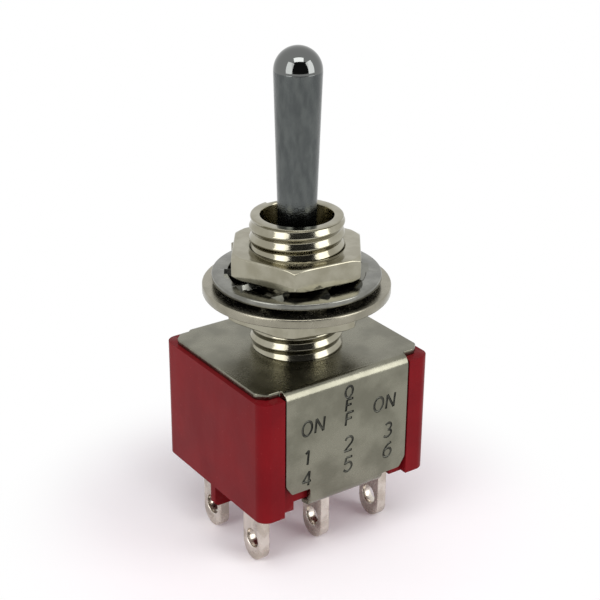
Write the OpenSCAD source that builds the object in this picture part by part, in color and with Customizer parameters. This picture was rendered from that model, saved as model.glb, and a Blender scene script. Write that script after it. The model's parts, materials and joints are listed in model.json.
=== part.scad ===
// Panel toggle switch, double pole, on - off - on, with solder lugs.
// Millimetres. Z runs up the bushing, X is the throw direction of the lever,
// -Y is the front. The origin is on the bushing axis, level with the lug tips.

/* [Case] */
// Length of the moulded case along the throw
case_length = 13.0; // [12.5:0.1:15]
// Depth of the moulded case, front to back
case_depth = 11.6; // [11.2:0.1:12]
// Height of the case under the frame plate
case_height = 8.25; // [8.1:0.05:9]
// Radius of the case's upright corners
case_corner = 0.8; // [0.3:0.1:1.2]
// Thickness of the case's end walls
end_wall = 0.9; // [0.7:0.1:1]
// Thickness of the case's floor
floor_thick = 1.6; // [1.4:0.05:1.75]
// Drop of the barrier rib between the two rows of lugs
rib_drop = 1.45; // [0.8:0.05:2]
// Thickness of the barrier rib
rib_thick = 0.55; // [0.4:0.05:0.9]

/* [Frame] */
// Sheet thickness of the folded frame
sheet = 0.4; // [0.3:0.05:0.45]
// Length of the frame plate along the throw
plate_length = 12.4; // [11.5:0.1:12.5]
// Width of the two folded legs
leg_width = 9.4; // [8:0.1:10]
// Drop of the legs below the plate's top face
leg_drop = 8.0; // [7.6:0.05:8.05]
// Width of the crimped tab at the foot of each leg
tab_width = 5.7; // [4:0.1:6.5]
// Straight length of the crimped tab past its bend
tab_reach = 0.55; // [0.3:0.05:0.7]

/* [Bushing] */
// Major radius of the M6 thread
thread_r = 3.0; // [2.95:0.01:3.05]
// Thread pitch
pitch = 0.75; // [0.7:0.01:0.76]
// Height of the bushing above the plate
bushing_height = 8.8; // [8.6:0.05:9.4]
// Radius of the bushing's mouth
mouth_r = 2.31; // [2.28:0.01:2.4]
// Radius of the bore round the lever's ball
bore_r = 2.1; // [2.08:0.01:2.15]

/* [Lever] */
// Lean of the lever at each end of its throw, degrees
throw = 12; // [11:0.5:12]
// Height of the lever's tip above the bushing
lever_height = 10.6; // [9:0.1:14]
// Radius of the lever's domed tip
tip_r = 1.5; // [1.3:0.05:1.8]
// Radius of the lever where it leaves the bushing
stem_r = 1.22; // [1.1:0.02:1.24]
// Radius of the lever's ball
ball_r = 2.0; // [1.95:0.01:2.02]
// Radius of the cross pin through the ball
pin_r = 0.45; // [0.35:0.05:0.5]

/* [Nuts and washers] */
// Width across the flats of both nuts
nut_flats = 8.0; // [7.8:0.1:8.2]
// Thickness of both nuts
nut_thick = 1.5; // [1.3:0.05:1.55]
// Height of the lower nut above the plate
lower_nut_lift = 2.17; // [1.8:0.01:2.2]
// Radius of the keyed locating washer
locating_r = 6.0; // [5.9:0.05:6.2]
// Thickness of the keyed locating washer
locating_thick = 0.6; // [0.4:0.05:0.65]
// Radius of the internal tooth lock washer
lock_r = 5.38; // [5.1:0.02:5.4]
// Thickness of the internal tooth lock washer
lock_thick = 0.4; // [0.3:0.05:0.45]
// Height over the twisted teeth of the lock washer
lock_span = 1.0; // [1:0.05:1.2]

/* [Terminals] */
// Spacing of the lugs along the throw
lug_pitch = 4.75; // [4.7:0.05:4.8]
// Distance of each row of lugs from the centre
row_y = 2.45; // [2.4:0.05:2.5]
// Width of a lug
lug_width = 2.1; // [1.9:0.05:2.2]
// Thickness of a lug
lug_thick = 0.7; // [0.6:0.05:0.8]
// Length of a lug below the case
lug_length = 4.75; // [4:0.05:5.5]
// Radius of a lug's solder eyelet
eye_r = 0.65; // [0.55:0.05:0.75]
// Height of the eyelet's centre above the lug's tip
eye_rise = 1.55; // [1.4:0.05:1.8]

/* [Contacts] */
// Thickness of a rocker
rocker_thick = 0.35; // [0.3:0.05:0.4]
// Width of a rocker
rocker_width = 2.4; // [2.2:0.1:2.5]
// Reach of a rocker's arm from its pivot
rocker_reach = 4.6; // [4.55:0.05:4.7]
// Rise of a rocker's arm, degrees
arm_rise = 7; // [6:0.5:7.5]
// Radius of a silver contact button
button_r = 0.6; // [0.5:0.05:0.65]
// Thickness of a moving contact button
button_thick = 0.25; // [0.2:0.05:0.25]

/* [Plungers] */
// Radius of a plunger and of its round nose
plunger_r = 0.75; // [0.7:0.05:0.75]
// Wire radius of a plunger spring
wire_r = 0.06; // [0.05:0.01:0.07]
// Turns of a plunger spring
spring_turns = 6; // [4:1:8]

/* [Hidden] */
eps = 0.01;
slide_gap = 0.05;         // clearance of a sliding fit
snug_gap = 0.02;          // clearance of a fit that stays put
seat_gap = 0.1;           // clearance of the frame round the case
sweep_gap = 0.07;         // clearance of the leaning lever

// levels
plate_z = lug_length + case_height;
plate_top = plate_z + sheet;
floor_top = lug_length + floor_thick;
bushing_top = plate_top + bushing_height;
pivot_depth = (mouth_r - sweep_gap - stem_r / cos(throw)) / tan(throw);
pivot_z = bushing_top - pivot_depth;
lever_top = bushing_top + lever_height;
tip_z = lever_top - tip_r;

// frame
recess = sheet + seat_gap;
leg_y = case_depth / 2 - snug_gap;
bend_in = 0.25;
plate_half = leg_y - bend_in - sheet;
leg_top = plate_top - bend_in - sheet;
leg_foot = plate_top - leg_drop;
leg_half = leg_width / 2;
tab_half = tab_width / 2;
tab_in = 0.2;
tab_angle = 80;
foot_cut = 0.45;
foot_rise = 0.7;
notch_rise = 0.8;
plate_cut = 0.55;

// case
cavity_x = case_length / 2 - end_wall;
cavity_y = case_depth / 2 - recess - end_wall;
divider_thick = 0.7;
divider_rise = 2.9;
rib_cut = 0.3;
pocket_inset = 0.9;
pocket_half = leg_half - pocket_inset;
pocket_top = leg_foot - slide_gap;
pocket_deep = tab_in + tab_reach + seat_gap;
edge_bevel = bend_in;

// bushing
mid_depth = 0.22;
root_depth = 0.35;
core_r = thread_r - mid_depth;
root_r = thread_r - root_depth;
crest = 0.27;
root_flat = 0.04;
first_crest = 0.12;
rim_bevel = 0.15;
flange_r = 3.9;
flange_thick = 0.8;
flange_z = plate_z - flange_thick;
seat_step = 0.25;
seat_rise = 1.06;
seat_r = ball_r - seat_step;
seat_z = pivot_z + seat_rise;
pilot_r = seat_r / 2;
seat_rim = 0.25;
cone_drop = 1.4;
tail_r = 0.85;
skirt_r = (pivot_z - flange_z) * tan(throw) + tail_r / cos(throw) + sweep_gap;
key_width = 1.0;
key_depth = 0.4;
pin_slot = 0.3;

// nuts and washers
nut_bore = core_r + snug_gap;
nut_corner = nut_flats / sqrt(3);
nut_chamfer = 0.2;
chamfer_angle = 30;
nut_lead = 0.25;
stack_gap = 0.01;
lower_nut_z = plate_top + lower_nut_lift;
locating_z = lower_nut_z + nut_thick;
lock_z = locating_z + locating_thick + stack_gap;
upper_nut_z = lock_z + lock_span + stack_gap;
upper_nut_top = upper_nut_z + nut_thick;
lower_turn = -13;
upper_turn = -6;
washer_gap = 0.15;
washer_bore = thread_r + washer_gap;
nib_width = 2.4;
nib_rise = 0.9;
lock_ring_in = 4.35;
lock_teeth = 10;
tooth_gap = 0.08;
tooth_in = thread_r + tooth_gap;
tooth_wide = 1.6;
tooth_twist = 22;

// contacts
carrier_tall = 2.0;
carrier_drop = 0.6;
carrier_z = flange_z - carrier_drop - carrier_tall;
fulcrum_drop = 1.1;
fulcrum_z = carrier_z - fulcrum_drop;
nose_r = plunger_r + slide_gap;
rocker_out = nose_r + rocker_thick;
saddle_z = fulcrum_z - rocker_out - snug_gap;
rocker_ratio = 0.72;
press = rocker_ratio * throw - arm_rise;
button_x = 3.9;
contact_z = fulcrum_z - (rocker_out + button_thick) * cos(press)
            - (button_x + button_r) * sin(press) - snug_gap;
disc_r = button_r + slide_gap;
disc_thick = 0.2;
head_top = contact_z - disc_thick;
head_in = button_x - disc_r - slide_gap;
waist_cut = 0.25;
waist = rocker_width / 2 - waist_cut;
notch_gap = 0.3;
notch_half = lug_thick / 2 + notch_gap;
prong_in = waist + slide_gap;
prong_thick = 0.4;
prong_rise = 0.1;

// plungers
tail_rise = 0.3;
tail_z = carrier_z + tail_rise;
carrier_half = 1.3;
carrier_end = 0.5;
carrier_y = row_y + plunger_r + carrier_end;
roof_thick = 0.4;
roof_z = carrier_z + carrier_tall - roof_thick;
travel = 0.5;
plunger_top = roof_z - travel;
cup_wall = 0.25;
cup_rise = 0.1;
cup_r = plunger_r - cup_wall;
cup_floor = fulcrum_z + cup_rise;
coil_r = cup_r - slide_gap - wire_r;
wire_sides = 5;
turn_steps = 10;

// ---- helpers ----

module box(x, y, z0, z1) {
    translate([-x / 2, -y / 2, z0]) cube([x, y, z1 - z0]);
}

module post(r, z0, z1, sides) {
    translate([0, 0, z0]) cylinder(r = r, h = z1 - z0, $fn = sides);
}

module taper(r0, r1, z0, z1, sides) {
    translate([0, 0, z0]) cylinder(r1 = r0, r2 = r1, h = z1 - z0, $fn = sides);
}

module bar_x(r, length, sides) {
    rotate([0, 90, 0]) translate([0, 0, -length / 2]) cylinder(r = r, h = length, $fn = sides);
}

module bar_y(r, length, sides) {
    rotate([90, 0, 0]) translate([0, 0, -length / 2]) cylinder(r = r, h = length, $fn = sides);
}

// sheet bent about X, from straight down towards +Y
module bend(inner, width, angle) {
    rotate([0, 90, 0]) rotate_extrude(angle = angle, $fn = 48)
        translate([inner, -width / 2]) square([sheet, width]);
}

module front_and_back() {
    children();
    rotate([0, 0, 180]) children();
}

// ---- case ----

module rounded_block(x, y, r, z0, z1) {
    box(x - 2 * r, y, z0, z1);
    box(x, y - 2 * r, z0, z1);
    for (sx = [-1, 1], sy = [-1, 1])
        translate([sx * (x / 2 - r), sy * (y / 2 - r), 0]) post(r, z0, z1, 32);
}

// room for a leg, bevelled at its top for the inside of the frame's bend
module leg_recess() {
    half = leg_half + seat_gap;
    face = case_depth / 2;
    translate([-half, 0, 0]) rotate([90, 0, 90]) linear_extrude(2 * half)
        polygon([[-face - recess, lug_length - eps], [recess - face, lug_length - eps],
                 [recess - face, plate_z - edge_bevel],
                 [recess - face + edge_bevel + eps, plate_z + eps],
                 [-face - recess, plate_z + eps]]);
    translate([0, -face, 0])
        box(2 * pocket_half, 2 * (recess + pocket_deep), lug_length - eps, pocket_top);
}

module barrier_rib() {
    difference() {
        box(case_length, rib_thick, lug_length - rib_drop, lug_length + eps);
        for (sx = [-1, 1])
            translate([sx * case_length / 2, 0, lug_length - rib_drop]) rotate([0, 45, 0])
                cube([rib_cut, 2 * rib_thick, rib_cut], center = true);
    }
}

module case() color("firebrick") {
    difference() {
        rounded_block(case_length, case_depth, case_corner, lug_length, plate_z);
        box(2 * cavity_x, 2 * cavity_y, floor_top, plate_z + eps);
        front_and_back() leg_recess();
        for (ix = [-1, 0, 1], sy = [-1, 1])
            translate([ix * lug_pitch, sy * row_y, 0])
                box(lug_thick, lug_width, lug_length - eps, floor_top + eps);
    }
    box(2 * cavity_x + eps, divider_thick, floor_top - eps, floor_top + divider_rise);
    barrier_rib();
}

// ---- frame ----

module plate() {
    x = plate_length / 2;
    y = plate_half + eps;
    c = plate_cut;
    difference() {
        translate([0, 0, plate_z]) linear_extrude(sheet)
            polygon([[x - c, -y], [x, c - y], [x, y - c], [x - c, y],
                     [c - x, y], [-x, y - c], [-x, c - y], [c - x, -y]]);
        post(core_r, plate_z - eps, plate_top + eps, 64);
    }
}

module leg() {
    translate([0, sheet - leg_y, 0]) rotate([90, 0, 0]) linear_extrude(sheet)
        polygon([[-leg_half, leg_top + eps],
                 [-leg_half, leg_foot + notch_rise + foot_rise],
                 [foot_cut - leg_half, leg_foot + notch_rise],
                 [-tab_half, leg_foot + notch_rise], [-tab_half, leg_foot - eps],
                 [tab_half, leg_foot - eps], [tab_half, leg_foot],
                 [leg_half - foot_cut, leg_foot], [leg_half, leg_foot + foot_rise],
                 [leg_half, leg_top + eps]]);
}

module crimped_tab() {
    translate([0, sheet + tab_in - leg_y, leg_foot]) {
        rotate([-90, 0, 0]) bend(tab_in, tab_width, tab_angle);
        rotate([tab_angle - 90, 0, 0])
            translate([-tab_half, -eps, -tab_in - sheet])
                cube([tab_width, tab_reach + eps, sheet]);
    }
}

module frame() color("silver") {
    plate();
    front_and_back() {
        translate([0, -plate_half, leg_top]) rotate([180, 0, 0]) bend(bend_in, leg_width, 90);
        leg();
        crimped_tab();
    }
}

// ---- bushing ----

low_crests = floor((lower_nut_lift - crest) / pitch + 0.5);
top_crests = floor((bushing_top - upper_nut_top - first_crest - pitch / 2) / pitch);

function ridge(z) = [[root_r, z - pitch / 2 + root_flat], [thread_r, z - crest / 2],
                     [thread_r, z + crest / 2], [root_r, z + pitch / 2 - root_flat]];

function thread_profile() = concat(
    [[pilot_r, flange_z], [flange_r, flange_z], [flange_r, plate_z], [core_r, plate_z],
     [core_r, plate_top]],
    [for (k = [low_crests - 1:-1:0]) each ridge(lower_nut_z - (k + 0.5) * pitch)],
    [[core_r, lower_nut_z], [core_r, upper_nut_top]],
    [for (k = [top_crests:-1:1]) each ridge(bushing_top - first_crest - k * pitch)],
    [[root_r, bushing_top - first_crest - pitch / 2 + root_flat],
     [thread_r, bushing_top - first_crest - crest / 2], [thread_r, bushing_top - rim_bevel],
     [thread_r - rim_bevel, bushing_top], [pilot_r, bushing_top]]);

module bushing() color("lightgoldenrodyellow") difference() {
    rotate_extrude($fn = 48) polygon(thread_profile());
    taper(max(bore_r, skirt_r), bore_r, flange_z - eps, pivot_z - ball_r, 48);
    post(bore_r, pivot_z - ball_r - eps, seat_z, 48);
    post(seat_r, seat_z - eps, seat_z + seat_rim, 48);
    taper(seat_r, mouth_r, seat_z + seat_rim - eps, bushing_top - cone_drop, 48);
    post(mouth_r, bushing_top - cone_drop - eps, bushing_top + eps, 48);
    translate([-key_width / 2, thread_r - key_depth, plate_top + eps])
        cube([key_width, key_depth + eps, bushing_height]);
    box(2 * (pin_r + slide_gap), 2 * (bore_r + pin_slot), flange_z - eps,
        pivot_z + pin_r + slide_gap);
}

// ---- lever ----

module lever() color("gainsboro") {
    neck_z = pivot_z + ball_r / 2;
    neck_r = stem_r - (tip_r - stem_r) * (bushing_top - neck_z) / (tip_z - bushing_top);
    taper(neck_r, tip_r, neck_z, tip_z, 32);
    translate([0, 0, tip_z]) sphere(r = tip_r, $fn = 32);
    post(tail_r, tail_z, pivot_z - ball_r / 2, 24);
    difference() {
        translate([0, 0, pivot_z]) sphere(r = ball_r, $fn = 32);
        translate([0, 0, pivot_z]) bar_y(pin_r, 3 * ball_r, 16);
    }
}

module pivot_pin() color("darkgray")
    translate([0, 0, pivot_z]) bar_y(pin_r, 2 * (bore_r + pin_slot - slide_gap), 16);

module plunger_carrier() color("ivory") difference() {
    box(2 * carrier_half, 2 * carrier_y, carrier_z, carrier_z + carrier_tall);
    post(tail_r, tail_z, carrier_z + carrier_tall + eps, 24);
    for (sy = [-1, 1])
        translate([0, sy * row_y, 0]) post(nose_r, carrier_z - eps, roof_z, 24);
}

// ---- plungers and springs ----

module plunger(side) color("peru") translate([0, side * row_y, 0]) difference() {
    union() {
        translate([0, 0, fulcrum_z]) sphere(r = plunger_r, $fn = 24);
        post(plunger_r, fulcrum_z, plunger_top, 24);
    }
    post(cup_r, cup_floor, plunger_top + eps, 24);
}

module plunger_front() plunger(-1);
module plunger_rear() plunger(1);

module coil(side) color("lightgray") {
    low = cup_floor + wire_r;
    rise = roof_z - wire_r - low;
    steps = spring_turns * turn_steps;
    points = [for (i = [0:steps], j = [0:wire_sides - 1])
        let (a = 360 * i / turn_steps, b = 360 * j / wire_sides, r = coil_r + wire_r * cos(b))
            [r * cos(a), r * sin(a), low + rise * i / steps + wire_r * sin(b)]];
    walls = [for (i = [0:steps - 1], j = [0:wire_sides - 1])
        let (k = (j + 1) % wire_sides, p = i * wire_sides, q = p + wire_sides)
            [p + j, q + j, q + k, p + k]];
    first = [for (j = [0:wire_sides - 1]) j];
    last = [for (j = [wire_sides - 1:-1:0]) steps * wire_sides + j];
    translate([0, side * row_y, 0])
        polyhedron(points = points, faces = concat([first], walls, [last]));
}

module spring_front() coil(-1);
module spring_rear() coil(1);

// ---- rockers ----

module arm_frame(end, side) {
    translate([0, side * row_y, fulcrum_z]) mirror([end < 0 ? 1 : 0, 0, 0])
        rotate([0, -arm_rise, 0]) children();
}

module rocker(side) color("goldenrod") difference() {
    union() {
        translate([0, side * row_y, fulcrum_z]) rotate([90, 0, 0])
            rotate([0, 0, -90 - arm_rise]) rotate_extrude(angle = 2 * arm_rise, $fn = 48)
                translate([nose_r, -rocker_width / 2]) square([rocker_thick, rocker_width]);
        for (end = [-1, 1])
            arm_frame(end, side) translate([0, -rocker_width / 2, -rocker_out])
                cube([rocker_reach, rocker_width, rocker_thick]);
    }
    for (sy = [-1, 1])
        translate([0, side * row_y + sy * rocker_width / 2, 0])
            box(2 * notch_half, rocker_width - 2 * waist, saddle_z - eps, fulcrum_z);
}

module rocker_front() rocker(-1);
module rocker_rear() rocker(1);

module moving_contact(end, side) color("whitesmoke") arm_frame(end, side)
    translate([button_x, 0, 0]) post(button_r, -rocker_out - button_thick, -rocker_out, 24);

module moving_contact_1() moving_contact(-1, -1);
module moving_contact_3() moving_contact(1, -1);
module moving_contact_4() moving_contact(-1, 1);
module moving_contact_6() moving_contact(1, 1);

module fixed_contact(end, side) color("whitesmoke")
    translate([end * button_x, side * row_y, 0]) post(disc_r, head_top, contact_z, 24);

module fixed_contact_1() fixed_contact(-1, -1);
module fixed_contact_3() fixed_contact(1, -1);
module fixed_contact_4() fixed_contact(-1, 1);
module fixed_contact_6() fixed_contact(1, 1);

// ---- terminals ----

module lug(top) difference() {
    union() {
        box(lug_thick, lug_width, lug_width / 2, top);
        translate([0, 0, lug_width / 2]) bar_x(lug_width / 2, lug_thick, 32);
    }
    translate([0, 0, eye_rise]) bar_x(eye_r, 2 * lug_thick, 32);
}

module end_terminal(end, side) color("whitesmoke") translate([0, side * row_y, 0]) {
    translate([end * lug_pitch, 0, 0]) lug(head_top);
    outer = lug_pitch + lug_thick / 2;
    translate([end * (head_in + outer) / 2, 0, 0])
        box(outer - head_in, lug_width, floor_top, head_top);
}

module centre_terminal(side) color("whitesmoke") translate([0, side * row_y, 0]) {
    lug(saddle_z);
    box(lug_thick, 2 * (prong_in + prong_thick), floor_top, saddle_z);
    for (sy = [-1, 1])
        translate([0, sy * (prong_in + prong_thick / 2), 0])
            box(lug_thick, prong_thick, saddle_z - eps, fulcrum_z + prong_rise);
}

module terminal_1() end_terminal(-1, -1);
module terminal_2() centre_terminal(-1);
module terminal_3() end_terminal(1, -1);
module terminal_4() end_terminal(-1, 1);
module terminal_5() centre_terminal(1);
module terminal_6() end_terminal(1, 1);

// ---- nuts and washers ----

module hex_nut(z, turn) translate([0, 0, z]) intersection() {
    rim = nut_corner - nut_chamfer / tan(chamfer_angle);
    lead = thread_r + slide_gap;
    rotate([0, 0, turn]) cylinder(r = nut_corner, h = nut_thick, $fn = 6);
    rotate_extrude($fn = 48)
        polygon([[nut_bore, nut_lead], [lead, 0], [rim, 0],
                 [nut_corner + eps, nut_chamfer], [nut_corner + eps, nut_thick - nut_chamfer],
                 [rim, nut_thick], [lead, nut_thick], [nut_bore, nut_thick - nut_lead]]);
}

module lower_nut() color("gainsboro") hex_nut(lower_nut_z, lower_turn);
module upper_nut() color("gainsboro") hex_nut(upper_nut_z, upper_turn);

module locating_washer() color("silver") {
    difference() {
        post(locating_r, locating_z, locating_z + locating_thick, 64);
        post(washer_bore, locating_z - eps, locating_z + locating_thick + eps, 48);
    }
    translate([slide_gap - key_width / 2, thread_r - key_depth + slide_gap, locating_z])
        cube([key_width - 2 * slide_gap, 2 * key_depth, locating_thick]);
    intersection() {
        post(locating_r, locating_z, locating_z + locating_thick + nib_rise, 64);
        translate([-nib_width / 2, lock_r + 2 * slide_gap, locating_z])
            cube([nib_width, locating_r, locating_thick + nib_rise]);
    }
}

module lock_washer() color("darkgray") translate([0, 0, lock_z + lock_span / 2]) {
    difference() {
        post(lock_r, -lock_thick / 2, lock_thick / 2, 64);
        post(lock_ring_in, -lock_thick, lock_thick, 48);
    }
    for (i = [0:lock_teeth - 1])
        rotate([0, 0, i * 360 / lock_teeth]) rotate([tooth_twist, 0, 0])
            translate([tooth_in, -tooth_wide / 2, -lock_thick / 2])
                cube([lock_ring_in - tooth_in + lock_thick / 2, tooth_wide, lock_thick]);
}

// ---- draw ----

case();
frame();
bushing();
lever();
pivot_pin();
plunger_carrier();
plunger_front();
plunger_rear();
spring_front();
spring_rear();
rocker_front();
rocker_rear();
moving_contact_1();
moving_contact_3();
moving_contact_4();
moving_contact_6();
fixed_contact_1();
fixed_contact_3();
fixed_contact_4();
fixed_contact_6();
terminal_1();
terminal_2();
terminal_3();
terminal_4();
terminal_5();
terminal_6();
lower_nut();
locating_washer();
lock_washer();
upper_nut();
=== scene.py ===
# Panel toggle switch: finished surfaces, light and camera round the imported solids.
# Sizes marked MM are millimetres, and everything that is made is in metres.

import json
import math
from functools import partial

import bmesh
import bpy
from mathutils import Matrix, Vector

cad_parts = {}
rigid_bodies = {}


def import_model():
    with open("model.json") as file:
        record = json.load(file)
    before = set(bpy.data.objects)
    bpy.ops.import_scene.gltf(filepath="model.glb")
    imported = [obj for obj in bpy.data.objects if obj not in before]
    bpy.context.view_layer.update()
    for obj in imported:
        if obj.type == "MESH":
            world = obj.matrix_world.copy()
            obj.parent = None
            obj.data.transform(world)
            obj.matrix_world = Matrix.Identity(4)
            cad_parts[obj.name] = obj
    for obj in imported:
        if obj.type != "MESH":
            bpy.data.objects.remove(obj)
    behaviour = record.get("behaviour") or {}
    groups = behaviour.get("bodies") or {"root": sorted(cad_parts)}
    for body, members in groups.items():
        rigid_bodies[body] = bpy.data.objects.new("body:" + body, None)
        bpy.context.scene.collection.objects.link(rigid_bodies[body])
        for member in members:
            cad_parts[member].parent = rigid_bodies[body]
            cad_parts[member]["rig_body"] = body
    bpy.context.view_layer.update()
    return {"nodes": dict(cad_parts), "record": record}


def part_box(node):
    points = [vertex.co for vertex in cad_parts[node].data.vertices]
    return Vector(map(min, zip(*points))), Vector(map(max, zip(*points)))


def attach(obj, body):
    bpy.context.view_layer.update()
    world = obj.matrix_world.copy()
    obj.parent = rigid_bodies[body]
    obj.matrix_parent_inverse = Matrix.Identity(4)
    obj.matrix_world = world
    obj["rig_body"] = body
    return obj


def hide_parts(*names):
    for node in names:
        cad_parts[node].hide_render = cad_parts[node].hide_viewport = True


MM = 0.001
WELD = 1e-7  # corners closer than this, in metres, are one
FLAT_WITHIN = 0.6  # faces that turn less than this, in degrees, are one
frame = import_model()
solids = frame["nodes"]

# ---- places, from the solids ----


def level(name, end):
    """The lowest (0) or highest (1) height of a solid, in millimetres."""
    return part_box(name)[end].z / MM


PLATE_TOP = level("frame", 1)
LEG_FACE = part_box("frame")[0].y / MM
BUSHING_LOW, BUSHING_TOP = level("bushing", 0), level("bushing", 1)
LOWER_NUT = (level("lower_nut", 0), level("lower_nut", 1))
UPPER_NUT = (level("upper_nut", 0), level("upper_nut", 1))
LOCK_WASHER = (level("lock_washer", 0), level("lock_washer", 1))
LEVER_LOW, LEVER_TOP = level("lever", 0), level("lever", 1)
PIN_LOW, PIN_TOP = level("pivot_pin", 0), level("pivot_pin", 1)
PIVOT = (PIN_LOW + PIN_TOP) / 2

# ---- sizes, in millimetres ----

THREAD = {"crest": 3.0, "core": 2.78, "depth": 0.18, "pitch": 0.75, "first_crest": 0.3,
          "run_out": 0.1, "rows_end": 0.16}
BUSHING = {"flange": 3.9, "flange_tall": 0.8, "run_in": 0.02, "rim_tall": 0.15,
           "rim_wide": 0.12, "lip_wide": 0.04, "lip_tall": 0.06, "rim_soft": 0.05,
           "mouth_top": 0.1, "slot_reach": 2.4, "slot_room": 0.05}
NUT = {"flats": 8.0, "bore": 2.8, "lead": 0.25, "chamfer": 0.2, "corner": 0.12,
       "edge": 0.06, "soft": 0.035, "low_turn": -13, "high_turn": -6}
LOCK = {"outer": 5.38, "inner": 4.35, "thick": 0.4, "teeth": 10, "tooth_in": 3.08,
        "tooth_wide": 1.6, "twist": 22, "edge": 0.07}
LEVER = {"tip": 1.5, "stem": 1.22, "ball": 2.0, "tail": 0.85, "tail_edge": 0.05,
         "ball_to_stem": 1.6655}
MOUTH = {"radius": 2.31, "deep": 1.4, "seat": 1.75, "seat_rise": 1.06, "seat_rim": 0.25,
         "bore": 2.1}
KEYWAY = {"width": 1.0, "depth": 0.4}
FOLD = {"sheet": 0.4, "bend_in": 0.25, "plate_long": 12.4, "corner": 0.55, "leg_half": 4.7,
        "leg_drop": 8.0, "tab_half": 2.85, "tab_in": 0.2, "tab_turn": math.radians(80),
        "tab_reach": 0.55, "foot_cut": 0.45, "foot_rise": 0.7, "notch": 0.8, "soft": 0.14}
BROKEN = {"frame": 0.05, "case": 0.10, "locating_washer": 0.07, "lug": 0.07}


# ---- node helpers ----


def add(tree, kind, inputs=None, **settings):
    """A new node with its settings, and its inputs set or linked."""
    made = tree.nodes.new(kind)
    for key, value in settings.items():
        setattr(made, key, value)
    for key, value in (inputs or {}).items():
        if isinstance(value, bpy.types.NodeSocket):
            tree.links.new(value, made.inputs[key])
        else:
            made.inputs[key].default_value = value
    return made


def calc(tree, operation, *values):
    """The result of one Math node."""
    kind = "ShaderNodeMath"
    made = add(tree, kind, dict(enumerate(values)), operation=operation)
    return made.outputs[0]


def sums(tree):
    """The tree's own plus, minus, times and over."""
    return [partial(calc, tree, kind) for kind in ("ADD", "SUBTRACT", "MULTIPLY", "DIVIDE")]


def remap(tree, value, low, high, to_low=0.0, to_high=1.0, smooth=True):
    """value moved from low..high to to_low..to_high."""
    inputs = {"Value": value, "From Min": low, "From Max": high,
              "To Min": to_low, "To Max": to_high}
    kind = "SMOOTHSTEP" if smooth else "LINEAR"
    return add(tree, "ShaderNodeMapRange", inputs, interpolation_type=kind).outputs[0]


def blend_colours(tree, share, first, second):
    """A colour between first and second."""
    made = add(tree, "ShaderNodeMix", {0: share, 6: first, 7: second}, data_type="RGBA")
    return made.outputs[2]


def rgba(red, green, blue):
    """An opaque colour."""
    return (red, green, blue, 1.0)


def empty_material(name):
    """A new material and its empty node tree."""
    material = bpy.data.materials.new(name)
    material.use_nodes = True
    material.node_tree.nodes.clear()
    return material, material.node_tree


def start_material(name):
    """A new node material, its surface shader and the place in millimetres."""
    material, tree = empty_material(name)
    shader = add(tree, "ShaderNodeBsdfPrincipled")
    add(tree, "ShaderNodeOutputMaterial", {"Surface": shader.outputs[0]})
    place = add(tree, "ShaderNodeTexCoord").outputs["Object"]
    scaled = add(tree, "ShaderNodeMapping", {"Vector": place, "Scale": (1000, 1000, 1000)})
    return material, tree, shader, scaled.outputs[0]


def noise(tree, place, scale, detail=3.0, stretch=(1, 1, 1), offset=(0, 0, 0)):
    """A noise value from 0 to 1, with scale in features a millimetre."""
    moved = add(tree, "ShaderNodeMapping",
                {"Vector": place, "Location": offset, "Scale": stretch})
    inputs = {"Vector": moved.outputs[0], "Scale": scale, "Detail": detail}
    return add(tree, "ShaderNodeTexNoise", inputs).outputs["Fac"]


def bumps(tree, shader, height, depth, strength=1.0):
    """Surface relief, with depth in millimetres."""
    inputs = {"Height": height, "Distance": depth * MM, "Strength": strength}
    made = add(tree, "ShaderNodeBump", inputs)
    tree.links.new(made.outputs[0], shader.inputs["Normal"])


def feed(tree, shader, name, socket):
    """Links a value to one of the shader's inputs."""
    tree.links.new(socket, shader.inputs[name])


# ---- materials ----


# pale and dark colour, least and most roughness, patches and grains a millimetre, relief
METALS = {
    "tinned_steel": ((0.235, 0.228, 0.18), (0.165, 0.16, 0.124), (0.18, 0.30), 0.45, 7.0),
    "nickel_brass": ((0.36, 0.342, 0.27), (0.29, 0.272, 0.205), (0.09, 0.17), 0.8, 9.0, 0.002),
    "washer_steel": ((0.32, 0.30, 0.24), (0.25, 0.235, 0.185), (0.18, 0.30), 0.7, 8.0),
    "spring_steel": ((0.24, 0.24, 0.215), (0.17, 0.17, 0.152), (0.16, 0.26), 0.8, 8.0),
    "silver_copper": ((0.66, 0.61, 0.55), (0.48, 0.43, 0.37), (0.22, 0.34), 0.9, 7.0),
    "contact_silver": ((0.85, 0.85, 0.82), (0.70, 0.70, 0.68), (0.15, 0.25), 1.5, 9.0),
    "bronze": ((0.66, 0.45, 0.26), (0.52, 0.34, 0.19), (0.22, 0.34), 1.0, 9.0),
    "stamped": ((0.10, 0.10, 0.085), (0.04, 0.04, 0.035), (0.35, 0.50), 1.5, 9.0),
}


def mottled_metal(name, pale, dark, rough, patch, grain, relief=0.004):
    """Plated metal: cloudy colour and roughness, and a fine grain."""
    material, tree, shader, place = start_material(name)
    clouds = noise(tree, place, patch, 5.0)
    fine = noise(tree, place, grain, 3.0, offset=(7, 3, 5))
    share = remap(tree, clouds, 0.35, 0.65)
    feed(tree, shader, "Base Color", blend_colours(tree, share, rgba(*dark), rgba(*pale)))
    mixed = calc(tree, "ADD", calc(tree, "MULTIPLY", clouds, 0.6),
                 calc(tree, "MULTIPLY", fine, 0.4))
    feed(tree, shader, "Roughness", remap(tree, mixed, 0.3, 0.7, *rough))
    shader.inputs["Metallic"].default_value = 1.0
    bumps(tree, shader, fine, relief)
    return material


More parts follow.
